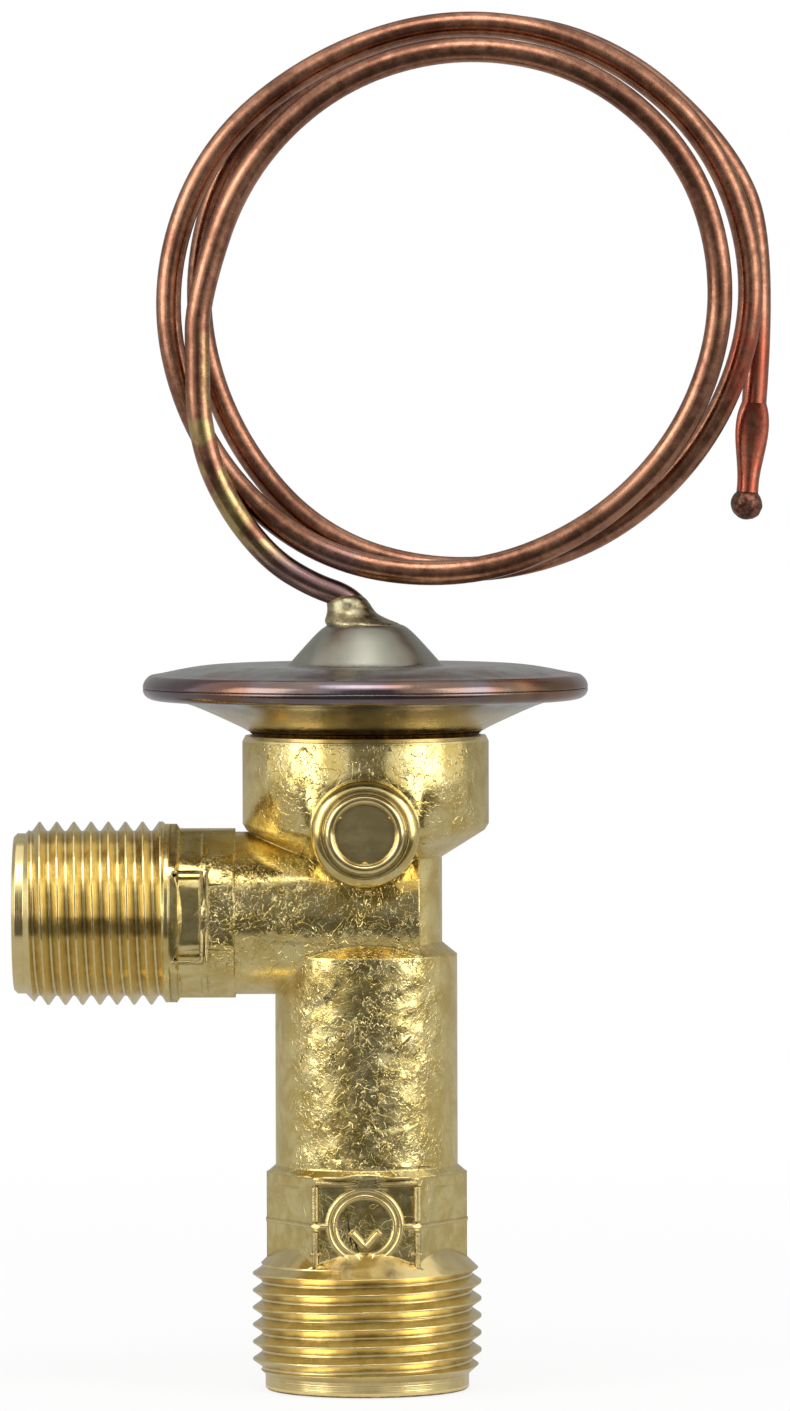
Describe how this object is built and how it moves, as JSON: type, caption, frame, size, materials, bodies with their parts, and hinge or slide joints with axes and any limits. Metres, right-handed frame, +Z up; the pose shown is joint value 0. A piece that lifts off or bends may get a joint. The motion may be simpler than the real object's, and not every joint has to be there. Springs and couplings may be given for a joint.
{
  "type": "thermostatic expansion valve",
  "caption": "Angle-pattern thermostatic expansion valve: forged brass body with two male threaded ends, steel diaphragm head and a coiled copper capillary tube with a sealed tip.",
  "frame": {"origin": "centre of the outlet's end face, on the valve's axis", "axes": "+Z up the valve's axis from the outlet to the power head, -X out of the inlet, -Y out of the blanked port"},
  "size_m": [0.0667, 0.039, 0.1202],
  "materials": {
    "forged_brass": "satin",
    "machined_brass": "polished",
    "stainless": "satin",
    "head_steel": "polished",
    "spring_steel": "satin",
    "seal_rubber": "matt",
    "copper": "satin",
    "copper_braze": "satin",
    "silver_braze": "satin",
    "tip_braze": "satin"
  },
  "bodies": {
    "valve": {"valve_body": "forged_brass", "staked_plug": "forged_brass", "orifice_seat": "stainless", "pin_seal_1": "seal_rubber", "pin_seal_2": "seal_rubber", "seal_retainer": "machined_brass", "head_braze_ring": "copper_braze", "lower_diaphragm_cup": "head_steel", "diaphragm": "stainless", "upper_diaphragm_cap": "head_steel", "capillary_sleeve": "silver_braze", "capillary_tube": "copper", "capillary_tip": "copper", "tip_bead": "tip_braze", "strainer_ferrule": "machined_brass", "strainer_mesh": "stainless", "strainer_cap": "machined_brass", "superheat_spring": "spring_steel"},
    "push_stack": {"push_plate": "stainless", "push_pin_1": "stainless", "push_pin_2": "stainless", "ball_carrier": "machined_brass", "valve_ball": "stainless", "damper_spring": "spring_steel"},
    "spring_seat": {"spring_seat": "machined_brass"},
    "adjusting_nut": {"adjusting_nut": "machined_brass"}
  },
  "joints": [
    {"name": "valve_stroke", "type": "slide", "parent": "valve", "child": "push_stack", "axis": [0, 0, -1], "range_m": [0, 0.0006], "stiffness_N_per_m": 1500, "springref_m": -0.002, "deforming": ["superheat_spring"]},
    {"name": "seat_travel", "type": "slide", "parent": "valve", "child": "spring_seat", "axis": [0, 0, 1], "range_m": [-0.00075, 0.00075], "deforming": ["superheat_spring"]},
    {"name": "nut_turn", "type": "hinge", "parent": "spring_seat", "child": "adjusting_nut", "pos_m": [0, 0, 0.0139], "axis": [0, 0, 1], "range_deg": [-360, 360]}
  ],
  "couplings": [
    {"joint": "nut_turn", "follows": "seat_travel", "rad_per_m": 8377}
  ]
}
